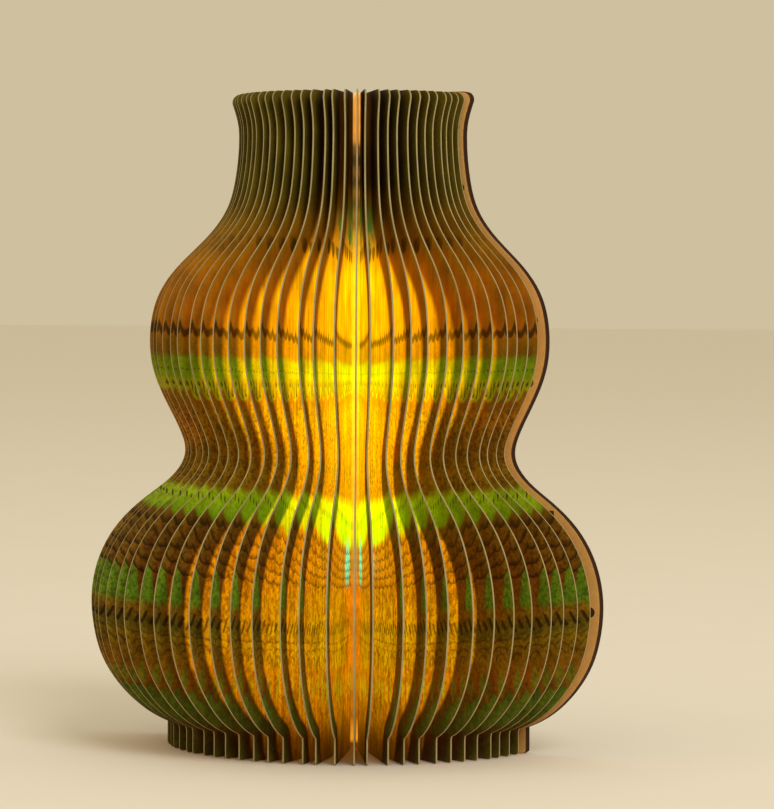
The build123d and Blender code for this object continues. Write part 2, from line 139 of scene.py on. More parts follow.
# %% [markdown]
# ## Sizes of the fan
# Each leaf swings by its own share of the cover's angle: -1 is the left cover, 1 the right one. The
# record says those shares as the ratios between the joints, and one leaf of the CAD model, turned
# back into its own plane, gives the outline that all of them are cut to.

# %% Read the fan from the CAD model
record = frame["record"]
pages = sorted(n for n in frame["nodes"] if n.startswith("page_"))
ratios = {c["joint"]: c["ratio"] for c in record["behaviour"]["couplings"]}
shares = {p: ratios[p + "_swing"] for p in pages}
swing = next(j for j in frame["joints"] if j["name"] == "right_cover_swing")
hinge_reach = swing["pos_m"][0]
fan_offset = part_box("right_cover_lining")[0].y
page_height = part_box("page_18")[1].z
page_thickness = 0.0007
row_step = 0.0018
foot_corner, lip_corner = 0.0014, 0.004


def in_leaf_plane(points, share):
    """Points as (reach from the hinge line, distance across the leaf, height)."""
    angle = np.radians(90 * share)
    along = np.array([np.sin(angle), -np.cos(angle), 0])
    over = np.array([np.cos(angle), np.sin(angle), 0])
    moved = points - np.array([share * hinge_reach, 0, 0]) - over * share * fan_offset
    return np.stack([moved @ along, moved @ over, points[:, 2]], axis=1)


leaf = frame["nodes"]["page_18"]
points = in_leaf_plane(np.array([v.co for v in leaf.data.vertices]), shares["page_18"])
inner_reach = points[:, 0].min()
rim = points[(abs(points[:, 1]) > 0.45 * page_thickness) & (points[:, 0] > inner_reach + 0.001)]
rim = np.unique(np.round(rim[:, [0, 2]], 7), axis=0)
rim = rim[np.argsort(rim[:, 1])]
steps = np.concatenate([[0], np.cumsum(np.hypot(*np.diff(rim, axis=0).T))])
even = np.arange(0, steps[-1], row_step)
corners = steps[(rim[:, 1] < foot_corner) | (rim[:, 1] > page_height - lip_corner)]
stations = np.unique(np.round(np.concatenate([even, corners, steps[-1:]]), 6))
outline = np.stack([np.interp(stations, steps, rim[:, 0]), np.interp(stations, steps, rim[:, 1])], axis=1)
print("leaf", round(inner_reach * 1000, 2), "to", round(outline[:, 0].max() * 1000, 2), "mm,", len(outline), "rows")

# %% [markdown]
# ## One leaf in Geometry Nodes
# On the real lamp a leaf is two printed sheets glued together along their outer margin, so light from the
# bar can enter between them. It could be a flat shape with a Solidify modifier, but the print needs to
# know where on the leaf it is. This tree lays a grid between the inner edge and the outline, and
# writes down what the print needs while the grid is still flat: a UV map with the reach and the height in
# metres, the reach as a share of the outline, and the distance to the cut edge. Then it gives the grid its
# thickness and swings it to its place in the fan.


# %% A tree with named inputs
def new_tree(name, inputs):
    """A geometry tree with a geometry input and output, and the named inputs that are given."""
    tree = bpy.data.node_groups.new(name, "GeometryNodeTree")
    tree.interface.new_socket("Geometry", in_out="INPUT", socket_type="NodeSocketGeometry")
    for label, kind in inputs.items():
        tree.interface.new_socket(label, in_out="INPUT", socket_type="NodeSocket" + kind)
    tree.interface.new_socket("Geometry", in_out="OUTPUT", socket_type="NodeSocketGeometry")
    return tree, tree.nodes.new("NodeGroupInput").outputs


def grown(name, base, tree, values):
    """The plain mesh that the tree makes of the base mesh, as a new object."""
    obj = bpy.data.objects.new(name, base)
    bpy.context.scene.collection.objects.link(obj)
    modifier = obj.modifiers.new("Shape", "NODES")
    modifier.node_group = tree
    sockets = {i.name: i.identifier for i in tree.interface.items_tree if i.in_out == "INPUT"}
    for label, value in values.items():
        modifier[sockets[label]] = value
    bpy.context.view_layer.update()
    made = bpy.data.meshes.new_from_object(obj.evaluated_get(bpy.context.evaluated_depsgraph_get()))
    obj.modifiers.remove(modifier)
    obj.data = made
    made.name = name
    return obj


def turned_and_joined(tree, face, pushed):
    """A closed skin: the face turned over, and what was pushed out of it."""
    both = add_node(tree, "GeometryNodeJoinGeometry")
    for part in (add_node(tree, "GeometryNodeFlipFaces", {"Mesh": face}), pushed):
        set_inputs(both, {0: part})
    return add_node(tree, "GeometryNodeMergeByDistance", {"Geometry": both, "Distance": 1e-6})


def swung(tree, mesh, given):
    """The mesh swung about its own hinge line, by its share of the cover's right angle."""
    turn = add_node(
        tree, "ShaderNodeMath", {0: given["Share"], 1: np.pi / 2, 2: -np.pi / 2}, operation="MULTIPLY_ADD"
    )
    turn = add_node(tree, "ShaderNodeCombineXYZ", {"Z": turn})
    pivot = add_node(tree, "ShaderNodeMath", {0: given["Share"], 1: given["Hinge Reach"]}, operation="MULTIPLY")
    pivot = add_node(tree, "ShaderNodeCombineXYZ", {"X": pivot})
    return add_node(tree, "GeometryNodeTransform", {"Geometry": mesh, "Rotation": turn, "Translation": pivot})


# %% The tree of a leaf
tree, given = new_tree(
    "Fan leaf",
    {
        "Share": "Float", "Hinge Reach": "Float", "Fan Offset": "Float", "Inner Reach": "Float",
        "Thickness": "Float", "Columns": "Int", "Number": "Float", "Print": "Material", "Cut Edge": "Material",
    },
)
# An even grid, one row for each point of the outline.
rows = add_node(tree, "GeometryNodeAttributeDomainSize", {"Geometry": given["Geometry"]}).outputs["Point Count"]
grid = add_node(
    tree, "GeometryNodeMeshGrid",
    {"Size X": 1.0, "Size Y": 1.0, "Vertices X": given["Columns"], "Vertices Y": rows},
)
place = add_node(tree, "ShaderNodeSeparateXYZ", {0: add_node(tree, "GeometryNodeInputPosition")})
last = add_node(tree, "ShaderNodeMath", {0: rows, 1: 1.0}, operation="SUBTRACT")
row = add_node(tree, "ShaderNodeMath", {0: place.outputs["Y"], 1: 0.5}, operation="ADD")
row = add_node(tree, "ShaderNodeMath", {0: row, 1: last}, operation="MULTIPLY")
row = add_node(tree, "ShaderNodeMath", {0: row}, operation="ROUND")
edge_point = add_node(
    tree, "GeometryNodeSampleIndex",
    {"Geometry": given["Geometry"], "Value": add_node(tree, "GeometryNodeInputPosition"), "Index": row},
    data_type="FLOAT_VECTOR",
)
edge = add_node(tree, "ShaderNodeSeparateXYZ", {0: edge_point})
# Columns stand closer together towards the cut edge, where the print and the glow change fast.
left = add_node(tree, "ShaderNodeMath", {0: 0.5, 1: place.outputs["X"]}, operation="SUBTRACT")
left = add_node(tree, "ShaderNodeMath", {0: left, 1: 1.5}, operation="POWER")
reach = add_node(
    tree, "ShaderNodeMapRange",
    {"Value": left, "From Min": 1.0, "From Max": 0.0, "To Min": given["Inner Reach"], "To Max": edge.outputs["X"]},
)
half = add_node(tree, "ShaderNodeMath", {0: given["Thickness"], 1: 0.5}, operation="MULTIPLY")
flat_place = add_node(tree, "ShaderNodeCombineXYZ", {"X": reach, "Y": half, "Z": edge.outputs["Z"]})
rim_place = add_node(tree, "ShaderNodeCombineXYZ", {"X": reach, "Z": edge.outputs["Z"]})
# The print's map, the distance to the cut edge and the leaf's number travel with the mesh.
ratio = add_node(tree, "ShaderNodeMath", {0: reach, 1: edge.outputs["X"]}, operation="DIVIDE")
page_map = add_node(tree, "ShaderNodeCombineXYZ", {"X": reach, "Y": edge.outputs["Z"]})
near = add_node(
    tree, "GeometryNodeProximity", {0: given["Geometry"], "Sample Position": rim_place}, target_element="EDGES"
).outputs["Distance"]
mesh = grid
for name, value, kind, domain in (
    ("PageMap", page_map, "FLOAT2", "CORNER"), ("from_edge", near, "FLOAT", "POINT"),
    ("round_share", ratio, "FLOAT", "POINT"), ("leaf_number", given["Number"], "FLOAT", "POINT"),
):
    mesh = add_node(
        tree, "GeometryNodeStoreNamedAttribute", {"Geometry": mesh, "Name": name, "Value": value},
        data_type=kind, domain=domain,
    )
mesh = add_node(tree, "GeometryNodeSetPosition", {"Geometry": mesh, "Position": flat_place})
# Thickness: the grid pushed through, and the grid itself turned over for the other face.
pushed = add_node(
    tree, "GeometryNodeExtrudeMesh",
    {"Mesh": mesh, "Offset": (0.0, -1.0, 0.0), "Offset Scale": given["Thickness"], "Individual": False}, mode="FACES",
)
marked = pushed
for name, value, kind in (("cut_side", "Side", "BOOLEAN"), ("left_face", "Top", "FLOAT")):
    marked = add_node(
        tree, "GeometryNodeStoreNamedAttribute", {"Geometry": marked, "Name": name, "Value": pushed.outputs[value]},
        data_type=kind, domain="FACE",
    )
closed = turned_and_joined(tree, mesh, marked)
# To its place in the fan: off the middle by its share, then turned about the light bar.
off = add_node(tree, "ShaderNodeMath", {0: given["Share"], 1: given["Fan Offset"]}, operation="MULTIPLY")
off = add_node(tree, "ShaderNodeCombineXYZ", {"Y": off})
mesh = add_node(tree, "GeometryNodeTransform", {"Geometry": closed, "Translation": off})
mesh = swung(tree, mesh, given)
mesh = add_node(tree, "GeometryNodeRealizeInstances", {"Geometry": mesh})
side = add_node(tree, "GeometryNodeInputNamedAttribute", {"Name": "cut_side"}, data_type="BOOLEAN")
mesh = add_node(tree, "GeometryNodeSetMaterial", {"Geometry": mesh, "Material": given["Print"]})
mesh = add_node(
    tree, "GeometryNodeSetMaterial", {"Geometry": mesh, "Selection": side.outputs[0], "Material": given["Cut Edge"]}
)
add_node(tree, "NodeGroupOutput", {0: mesh})
leaf_tree = tree
print("leaf tree of", len(tree.nodes), "nodes")

# %% [markdown]
# ## The printed paper
# Each leaf carries half a picture of a round vase, so its bands dip towards the spine as they do on
# anything round seen from a little above. The reach as a share of the outline is the sine of the angle round
# the painted vase, and the cosine of that angle says how far a band has dipped. Everything below is drawn in
# millimetres of height on that vase and in repeats of 9.5 mm along the leaf: a ramp paints the bands, and a
# few simple shapes add traditional borders, such as spots, scallops, scales and leaves.


# %% New materials
def new_material(name, **finish):
    """A material with a Principled shader, whose plain settings are set on its sockets."""
    material = bpy.data.materials.new(name)
    material.use_nodes = True
    tree = material.node_tree
    tree.nodes.clear()
    shader = add_node(tree, "ShaderNodeBsdfPrincipled", finish)
    add_node(tree, "ShaderNodeOutputMaterial", {"Surface": shader})
    return material, tree, shader


def paint_ramp(ramp, stops, interpolation="LINEAR"):
    """Sets a ramp's stops, given as position and sRGB hex, or position and grey level."""
    ramp.interpolation = interpolation
    while len(ramp.elements) > 1:
        ramp.elements.remove(ramp.elements[0])
    for i, (position, colour) in enumerate(stops):
        stop = ramp.elements[0] if i == 0 else ramp.elements.new(position)
        stop.position = position
        stop.color = linear(colour) if isinstance(colour, str) else (colour, colour, colour, 1)


# %% Where on the painted vase
printed, tree, shader = new_material("printed_matt_paper", **{"Roughness": 0.68, "Specular IOR Level": 0.18})
repeat_width, vase_mm, sag_mm = 0.0095, 300.0, 24.0

page_map = add_node(tree, "ShaderNodeUVMap", uv_map="PageMap")
at = add_node(tree, "ShaderNodeSeparateXYZ", {0: page_map})
spot = add_node(tree, "ShaderNodeTexCoord").outputs["Object"]
from_edge, number, left_face, ratio = (
    add_node(tree, "ShaderNodeAttribute", attribute_name=name).outputs["Fac"]
    for name in ("from_edge", "leaf_number", "left_face", "round_share")
)
edge_mm = add_node(tree, "ShaderNodeMath", {0: from_edge, 1: 1000.0}, operation="MULTIPLY")
height_mm = add_node(tree, "ShaderNodeMath", {0: at.outputs["Y"], 1: 1000.0}, operation="MULTIPLY")
# The cosine of the angle round the vase; the reach as a share of the outline is its sine.
ratio = add_node(tree, "ShaderNodeMath", {0: ratio, 1: 0.9999}, operation="MINIMUM")
angle = add_node(tree, "ShaderNodeMath", {0: ratio}, operation="ARCSINE")
facing = add_node(tree, "ShaderNodeMath", {0: angle}, operation="COSINE")
# A band low on the vase dips 11 mm in the middle, and one at the lip barely 1 mm.
dip = add_node(tree, "ShaderNodeMath", {0: height_mm, 1: -0.034, 2: 11.5}, operation="MULTIPLY_ADD")
level_mm = add_node(tree, "ShaderNodeMath", {0: dip, 1: facing, 2: height_mm}, operation="MULTIPLY_ADD")
# The hand that painted it wavered by about half a millimetre.
waver = add_node(tree, "ShaderNodeTexNoise", {"Vector": spot, "Scale": 160.0, "Detail": 2.0})
waver = add_node(tree, "ShaderNodeMath", {0: waver, 1: 0.5}, operation="SUBTRACT")
level_mm = add_node(tree, "ShaderNodeMath", {0: waver, 1: 1.6, 2: level_mm}, operation="MULTIPLY_ADD")
# Some borders sag or rise further in the middle: the second green band hangs down, the first one narrows.
level_share = add_node(tree, "ShaderNodeMath", {0: level_mm, 1: 1 / vase_mm}, operation="MULTIPLY")
sag = add_node(tree, "ShaderNodeValToRGB", {0: level_share})
paint_ramp(
    sag.color_ramp,
    [(0.0, 0.5), (0.1, 0.45), (0.2, 0.36), (0.26, 0.5), (0.31, 0.9), (0.33, 1.0), (0.352, 1.0), (0.41, 0.54),
     (0.44, 0.5), (0.48, 0.48), (0.535, 0.16), (0.56, 0.18), (0.6, 0.5), (0.64, 0.66), (0.78, 0.7), (0.86, 0.5)],
)
for operation, by in (("SUBTRACT", 0.5), ("MULTIPLY", facing), ("MULTIPLY", facing)):
    sag = add_node(tree, "ShaderNodeMath", {0: sag, 1: by}, operation=operation)
level_mm = add_node(tree, "ShaderNodeMath", {0: sag, 1: sag_mm, 2: level_mm}, operation="MULTIPLY_ADD")
repeat = add_node(tree, "ShaderNodeMath", {0: at.outputs["X"], 1: 1 / repeat_width}, operation="MULTIPLY")

# %% The bands and their scalloped edges
wave = repeat
for operation, by in (("MULTIPLY", np.pi), ("SINE", 0.0), ("ABSOLUTE", 0.0)):
    wave = add_node(tree, "ShaderNodeMath", {0: wave, 1: by}, operation=operation)
# How deep the scallops of each edge are, as a share of 6.5 mm.
share_up = add_node(tree, "ShaderNodeMath", {0: level_mm, 1: 1 / vase_mm}, operation="MULTIPLY")
depth = add_node(tree, "ShaderNodeValToRGB", {0: share_up})
paint_ramp(
    depth.color_ramp,
    [(0.0, 0.0), (0.05, 0.2), (0.1, 0.8), (0.13, 0.8), (0.15, 0.3), (0.2, 0.2), (0.3, 0.2), (0.36, 0.3),
     (0.39, 0.1), (0.44, 0.1), (0.51, 0.4), (0.545, 1.0), (0.565, 0.1), (0.61, 0.1), (0.635, 0.5), (0.66, 0.1),
     (0.8, 0.4), (1.0, 0.0)],
)
depth = add_node(tree, "ShaderNodeMath", {0: depth, 1: 6.5}, operation="MULTIPLY")
level_mm = add_node(tree, "ShaderNodeMath", {0: wave, 1: depth, 2: level_mm}, operation="MULTIPLY_ADD")
share_up = add_node(tree, "ShaderNodeMath", {0: level_mm, 1: 1 / vase_mm}, operation="MULTIPLY")

bands = add_node(tree, "ShaderNodeValToRGB", {0: share_up})
paint_ramp(
    bands.color_ramp,
    [(0.0, "4a480e"), (0.036, "444010"), (0.042, "342406"), (0.06, "342806"), (0.064, "14581e"), (0.118, "267e22"),
     (0.122, "6a4206"), (0.14, "8a4a06"), (0.165, "825a06"), (0.2, "7e6a08"), (0.205, "4c5210"), (0.222, "4c4a0c"),
     (0.235, "7a5808"), (0.28, "6a4208"), (0.376, "503408"), (0.38, "6cb00e"), (0.408, "a0d018"),
     (0.412, "644e05"), (0.44, "6c4c05"), (0.447, "3a2206"), (0.46, "4a1e03"), (0.552, "6c2a03"),
     (0.556, "98a80c"), (0.568, "8aa60e"), (0.572, "58a00e"), (0.604, "3c8410"), (0.607, "5a3e05"),
     (0.638, "7a5005"), (0.645, "9c5204"), (0.73, "ac6205"), (0.81, "866006"), (0.86, "584c0a")],
)

# %% [markdown]
# ## Motifs as masks
# Every motif repeats in a cell. The cell's own coordinates, from -0.5 to 0.5 sideways and in
# millimetres upwards, decide by one small formula where there is ink. Three small functions make and join
# such masks, so more motifs can be added without disturbing the others.


# %% Masks
def between(value, low, high, soft=0.8):
    """A mask that is 1 from low to high, with edges soft millimetres wide."""
    rise = add_node(tree, "ShaderNodeMapRange", {"Value": value, "From Min": low, "From Max": low + soft})
    fall = add_node(tree, "ShaderNodeMapRange", {"Value": value, "From Min": high, "From Max": high - soft})
    return overlap(rise, fall)


def overlap(found, *masks):
    """Where all of several masks are, as their product."""
    for mask in masks:
        found = add_node(tree, "ShaderNodeMath", {0: found, 1: mask}, operation="MULTIPLY")
    return found


def strongest(found, *masks):
    """Where any of several masks is."""
    for mask in masks:
        found = add_node(tree, "ShaderNodeMath", {0: found, 1: mask}, operation="MAXIMUM")
    return found


# %% Spots, lines and leaves
cell = add_node(tree, "ShaderNodeMath", {0: repeat}, operation="FRACT")
cell = add_node(tree, "ShaderNodeMath", {0: cell, 1: 0.5}, operation="SUBTRACT")
wide = add_node(tree, "ShaderNodeMath", {0: cell}, operation="ABSOLUTE")

# Round spots on the shoulder, fainter at the cut edge.
away = add_node(tree, "ShaderNodeMath", {0: level_mm, 1: -234.5}, operation="ADD")
away = add_node(tree, "ShaderNodeMath", {0: away, 1: 0.12}, operation="MULTIPLY")
away = add_node(tree, "ShaderNodeCombineXYZ", {"X": cell, "Y": away})
away = add_node(tree, "ShaderNodeVectorMath", {0: away}, operation="LENGTH")
fainter = add_node(tree, "ShaderNodeMapRange", {"Value": edge_mm, "From Min": 1.0, "From Max": 6.0, "To Min": 0.2})
spots = overlap(between(away, -1.0, 0.44, 0.14), fainter)
# A jagged line above the first green band.
peak = add_node(tree, "ShaderNodeMapRange", {"Value": wide, "From Min": 0.32, "From Max": 0.0})
peak = add_node(tree, "ShaderNodeMath", {0: peak, 1: 2.0}, operation="POWER")
jag = add_node(tree, "ShaderNodeMath", {0: peak, 1: -3.0, 2: level_mm}, operation="MULTIPLY_ADD")
jagged = between(jag, 191.2, 195.4, 1.2)
# Small hooks and a dotted line in the first green band, dots in the second one.
fine = add_node(tree, "ShaderNodeMath", {0: repeat, 1: 4.0}, operation="MULTIPLY")
fine = add_node(tree, "ShaderNodeMath", {0: fine}, operation="FRACT")
hook = add_node(tree, "ShaderNodeMath", {0: fine, 1: -3.0, 2: level_mm}, operation="MULTIPLY_ADD")
hooks = overlap(between(fine, 0.1, 0.8, 0.1), between(hook, 166.5, 168.6))
dots = overlap(
    between(fine, 0.25, 0.75, 0.15), strongest(between(level_mm, 118.5, 120.6), between(level_mm, 174.5, 176.0))
)
# A row of slanting dark leaves, and arcs over each other below it.
slant = add_node(tree, "ShaderNodeMath", {0: level_mm, 1: 0.12}, operation="MULTIPLY")
slant = add_node(tree, "ShaderNodeMath", {0: repeat, 1: 2.0, 2: slant}, operation="MULTIPLY_ADD")
slant = add_node(tree, "ShaderNodeMath", {0: slant}, operation="FRACT")
leaves = overlap(between(slant, 0.2, 0.75, 0.15), between(level_mm, 63.5, 70.0))
arc = add_node(tree, "ShaderNodeMath", {0: level_mm, 1: -51.0}, operation="ADD")
arc = add_node(tree, "ShaderNodeMath", {0: arc, 1: 0.08}, operation="MULTIPLY")
arc = add_node(tree, "ShaderNodeCombineXYZ", {"X": cell, "Y": arc})
arc = add_node(tree, "ShaderNodeVectorMath", {0: arc}, operation="LENGTH")
rings = add_node(tree, "ShaderNodeMath", {0: arc, 1: 26.0}, operation="MULTIPLY")
rings = add_node(tree, "ShaderNodeMath", {0: rings}, operation="SINE")
arcs = overlap(between(rings, 0.35, 9.0, 0.5), between(level_mm, 51.0, 62.5), 0.55)

# %% Fish scales below the second green band
# Rows 5.5 mm high; every other row is moved by half a scale. A scale is dark round its lower rim.
line = add_node(tree, "ShaderNodeMath", {0: level_mm, 1: 1 / 5.5}, operation="MULTIPLY")
line_number = add_node(tree, "ShaderNodeMath", {0: line}, operation="FLOOR")
line_part = add_node(tree, "ShaderNodeMath", {0: line}, operation="FRACT")
scale_at = add_node(tree, "ShaderNodeMath", {0: line_number, 1: 0.5}, operation="MULTIPLY")
scale_at = add_node(tree, "ShaderNodeMath", {0: repeat, 1: 2.0, 2: scale_at}, operation="MULTIPLY_ADD")
scale_at = add_node(tree, "ShaderNodeMath", {0: scale_at}, operation="FRACT")
scale_at = add_node(tree, "ShaderNodeMath", {0: scale_at, 1: 0.5}, operation="SUBTRACT")
over = add_node(tree, "ShaderNodeMath", {0: 1.0, 1: line_part}, operation="SUBTRACT")
rim_at = add_node(tree, "ShaderNodeCombineXYZ", {"X": scale_at, "Y": over})
rim_at = add_node(tree, "ShaderNodeVectorMath", {0: rim_at}, operation="LENGTH")
scales = overlap(between(rim_at, 0.62, 1.3, 0.35), between(level_mm, 86.0, 112.0))
inks = [spots, jagged, hooks, dots, leaves, arcs, scales]

# %% Green fins at the edge and diamonds below them, a cloud in the neck and pale drops
fin = add_node(tree, "ShaderNodeMapRange", {"Value": height_mm, "From Min": 89.0, "From Max": 73.0})
for operation, by in (("POWER", 0.6), ("MULTIPLY", 7.5), ("SUBTRACT", edge_mm)):
    fin = add_node(tree, "ShaderNodeMath", {0: fin, 1: by}, operation=operation)
fins = overlap(between(fin, 0.0, 90.0, 1.0), between(height_mm, 68.5, 89.0, 4.0))
tall = level_mm
for operation, by in (("ADD", -43.0), ("ABSOLUTE", 0.0), ("MULTIPLY", 0.045)):
    tall = add_node(tree, "ShaderNodeMath", {0: tall, 1: by}, operation=operation)
diamond = add_node(tree, "ShaderNodeMath", {0: wide, 1: tall}, operation="ADD")
greens = [fins, overlap(between(diamond, -1.0, 0.33, 0.1), 0.55)]
# Deep in the valleys: a green cloud under the neck, and a pale drop under each green tongue.
torn = add_node(tree, "ShaderNodeTexNoise", {"Vector": spot, "Scale": 110.0, "Detail": 2.0})
torn = add_node(tree, "ShaderNodeMapRange", {"Value": torn, "From Min": 0.4, "From Max": 0.53, "To Min": 0.3})
cloud = overlap(between(level_mm, 231.0, 258.0, 9.0), between(ratio, -1.0, 0.85, 0.3), torn)
drop = add_node(tree, "ShaderNodeMath", {0: ratio, 1: 0.26}, operation="SUBTRACT")
drop = add_node(tree, "ShaderNodeMath", {0: drop, 1: 9.0}, operation="MULTIPLY")
drop_up = add_node(
    tree, "ShaderNodeMapRange",
    {"Value": level_mm, "From Min": 86.0, "From Max": 118.0, "To Min": -1.0, "To Max": 1.0},
)
drop = add_node(tree, "ShaderNodeCombineXYZ", {"X": drop, "Y": drop_up})
drop = add_node(tree, "ShaderNodeVectorMath", {0: drop}, operation="LENGTH")
drop = between(drop, -1.0, 1.0, 0.3)

ink, green = strongest(*inks), strongest(*greens)
print("print made of", len(inks), "inked and", len(greens), "green motifs")

# %% [markdown]
# ## Ink on paper, and light through it
# Seen from outside, the ink's colour comes from the room, and painted light and shade are mixed into it: olive at the
# open edge of each leaf and near black deep in the neck. Where the light between the sheets gets through, the same
# ink glows, and thin ink turns to clear yellow or yellow-green, so the lit bands have a ramp of their own. The light
# stops sharply at the glued margin, is strongest near the bar and dies out in the neck and
# the foot, which are nearly black: the print is dark there, and the neck has painted shade as well. Speckle makes
# both uneven, as pigment and paper fibres do.

# %% The print under room light, with painted shade and painted edge light
speckle = add_node(tree, "ShaderNodeTexNoise", {"Vector": spot, "Scale": 560.0, "Detail": 3.0, "Roughness": 0.65})
blots = add_node(
    tree, "ShaderNodeMapRange",
    {"Value": speckle, "From Min": 0.38, "From Max": 0.6, "To Min": 0.45, "To Max": 1.45},
)
# The shoulder is washed on smoothly, and the waist and the bellies are stippled.
stipple = add_node(tree, "ShaderNodeValToRGB", {0: share_up})
paint_ramp(
    stipple.color_ramp,
    [(0.0, 0.3), (0.1, 0.5), (0.36, 0.9), (0.37, 0.35), (0.41, 0.4), (0.42, 1.0), (0.53, 1.0), (0.54, 0.3),
     (0.62, 0.3), (0.66, 0.12)],
)
blots = add_node(tree, "ShaderNodeMix", {0: stipple, 2: 1.0, 3: blots})
cloudy = add_node(tree, "ShaderNodeTexNoise", {"Vector": spot, "Scale": 75.0, "Detail": 2.0})
shade = add_node(
    tree, "ShaderNodeMapRange", {"Value": cloudy, "From Min": 0.3, "From Max": 0.7, "To Min": 0.52, "To Max": 0.98}
)
ink_tone = add_node(tree, "ShaderNodeMapRange", {"Value": ink, "To Min": 1.0, "To Max": 0.16})
tone = overlap(blots, shade, ink_tone)
# Rust-red clouds in the wash of the shoulder and the waist.
rust = add_node(tree, "ShaderNodeTexNoise", {"Vector": spot, "Scale": 24.0, "Detail": 2.0})
rust = add_node(tree, "ShaderNodeMapRange", {"Value": rust, "From Min": 0.42, "From Max": 0.62, "To Max": 0.85})
rust = overlap(rust, strongest(between(level_mm, 136.0, 160.0, 3.0), between(level_mm, 194.0, 228.0, 10.0)))
# Painted shade: the neck is darkened to nearly black away from the edge, deep in the valleys where the room light
# hardly reaches.
neck = add_node(tree, "ShaderNodeMapRange", {"Value": height_mm, "From Min": 236.0, "From Max": 262.0, "To Max": 0.9})
valley_shade = add_node(tree, "ShaderNodeMapRange", {"Value": edge_mm, "From Min": 4.0, "From Max": 10.0})
valley_shade = overlap(neck, valley_shade)
# Below the belly the green stays near the edge, with brown behind it.
low_in = add_node(tree, "ShaderNodeMapRange", {"Value": level_mm, "From Min": 40.0, "From Max": 34.0, "To Max": 0.85})
behind = add_node(tree, "ShaderNodeMapRange", {"Value": edge_mm, "From Min": 3.0, "From Max": 7.0})
low_in = overlap(low_in, behind)
# Painted light: all turns olive at the very edge, where the room light reaches the open rim of each leaf.
rim_light = add_node(
    tree, "ShaderNodeMapRange", {"Value": edge_mm, "From Min": 0.0, "From Max": 5.0, "To Min": 0.35, "To Max": 0.0}
)
colour = bands
for mask, paint in (
    (green, "3c8a1c"), (cloud, "174a2a"), (drop, "6aa884"), (rust, "943202"), (valley_shade, "1c0f05"), (low_in, "5a3606"),
    (rim_light, "8a7c14"),
):
    colour = add_node(tree, "ShaderNodeMix", {0: mask, 6: colour, 7: linear(paint)}, data_type="RGBA")
colour = add_node(tree, "ShaderNodeVectorMath", {0: colour, "Scale": tone}, operation="SCALE")

# %% The colour of the light through the paper
glow = add_node(tree, "ShaderNodeValToRGB", {0: share_up})
paint_ramp(
    glow.color_ramp,
    [(0.0, "6a4a00"), (0.05, "a86c00"), (0.1, "d88e00"), (0.16, "dc8e00"), (0.165, "d8a400"), (0.25, "d89c00"),
     (0.3, "dc9000"), (0.376, "e08c00"), (0.38, "dcec00"), (0.408, "f0f400"), (0.412, "f0a000"), (0.47, "ffbe00"),
     (0.52, "ffcc00"), (0.552, "ffa800"), (0.556, "f0e400"), (0.564, "f0dc00"), (0.568, "f0b000"),
     (0.572, "fae400"), (0.604, "e8d400"), (0.607, "e0a000"), (0.638, "e8a400"), (0.66, "ffbc00"),
     (0.74, "ffce00"), (0.79, "ffa400"), (0.84, "8a5a00")],
)
# Deep in the lower belly the light turns orange.
low = add_node(tree, "ShaderNodeMapRange", {"Value": level_mm, "From Min": 104.0, "From Max": 88.0})
far_in = add_node(
    tree, "ShaderNodeMapRange", {"Value": at.outputs["X"], "From Min": 0.045, "From Max": 0.018, "To Max": 0.85}
)
far_in = overlap(far_in, low)
# Towards the edge, and in patches low down, thicker ink lets only orange and brown light through.
thick = add_node(tree, "ShaderNodeMapRange", {"Value": edge_mm, "From Min": 28.0, "From Max": 8.0, "To Max": 0.45})
mottle = add_node(tree, "ShaderNodeTexNoise", {"Vector": spot, "Scale": 260.0, "Detail": 3.0, "Roughness": 0.6})
mottle = add_node(tree, "ShaderNodeMapRange", {"Value": mottle, "From Min": 0.46, "From Max": 0.6, "To Max": 0.75})
mottle = overlap(mottle, low)
lit = glow
for mask, light in (
    (far_in, "ff8a00"), (green, "b4c814"), (cloud, "467a28"), (drop, "8ce0a0"), (thick, "e87000"), (mottle, "a05200")
):
    lit = add_node(tree, "ShaderNodeMix", {0: mask, 6: lit, 7: linear(light)}, data_type="RGBA")

# %% Its strength
# The glued margin is wide at the bellies and the shoulder and narrow at the waist, wider on a left face.
height_share = add_node(tree, "ShaderNodeMath", {0: height_mm, 1: 1 / vase_mm}, operation="MULTIPLY")
glued = add_node(tree, "ShaderNodeValToRGB", {0: height_share})
paint_ramp(
    glued.color_ramp,
    [(0.0, 0.4), (0.06, 0.24), (0.12, 0.34), (0.2, 0.4), (0.4, 0.4), (0.46, 0.22), (0.5, 0.1), (0.56, 0.08),
     (0.62, 0.1), (0.72, 0.28), (0.8, 0.5)],
)
left_more = add_node(tree, "ShaderNodeMath", {0: left_face, 1: 13.0, 2: 14.0}, operation="MULTIPLY_ADD")
uneven = add_node(tree, "ShaderNodeTexNoise", {"W": number, "Scale": 1.0}, noise_dimensions="1D")
margin = add_node(tree, "ShaderNodeMath", {0: glued, 1: left_more}, operation="MULTIPLY")
margin = add_node(tree, "ShaderNodeMath", {0: uneven, 1: 4.0, 2: margin}, operation="MULTIPLY_ADD")
soft_by = add_node(
    tree, "ShaderNodeMapRange",
    {"Value": height_mm, "From Min": 100.0, "From Max": 200.0, "To Min": 2.5, "To Max": 6.0},
)
inside = add_node(tree, "ShaderNodeMath", {0: edge_mm, 1: margin}, operation="SUBTRACT")
inside = add_node(tree, "ShaderNodeMath", {0: inside, 1: soft_by}, operation="DIVIDE")
inside = add_node(tree, "ShaderNodeMapRange", {"Value": inside}, interpolation_type="SMOOTHSTEP")
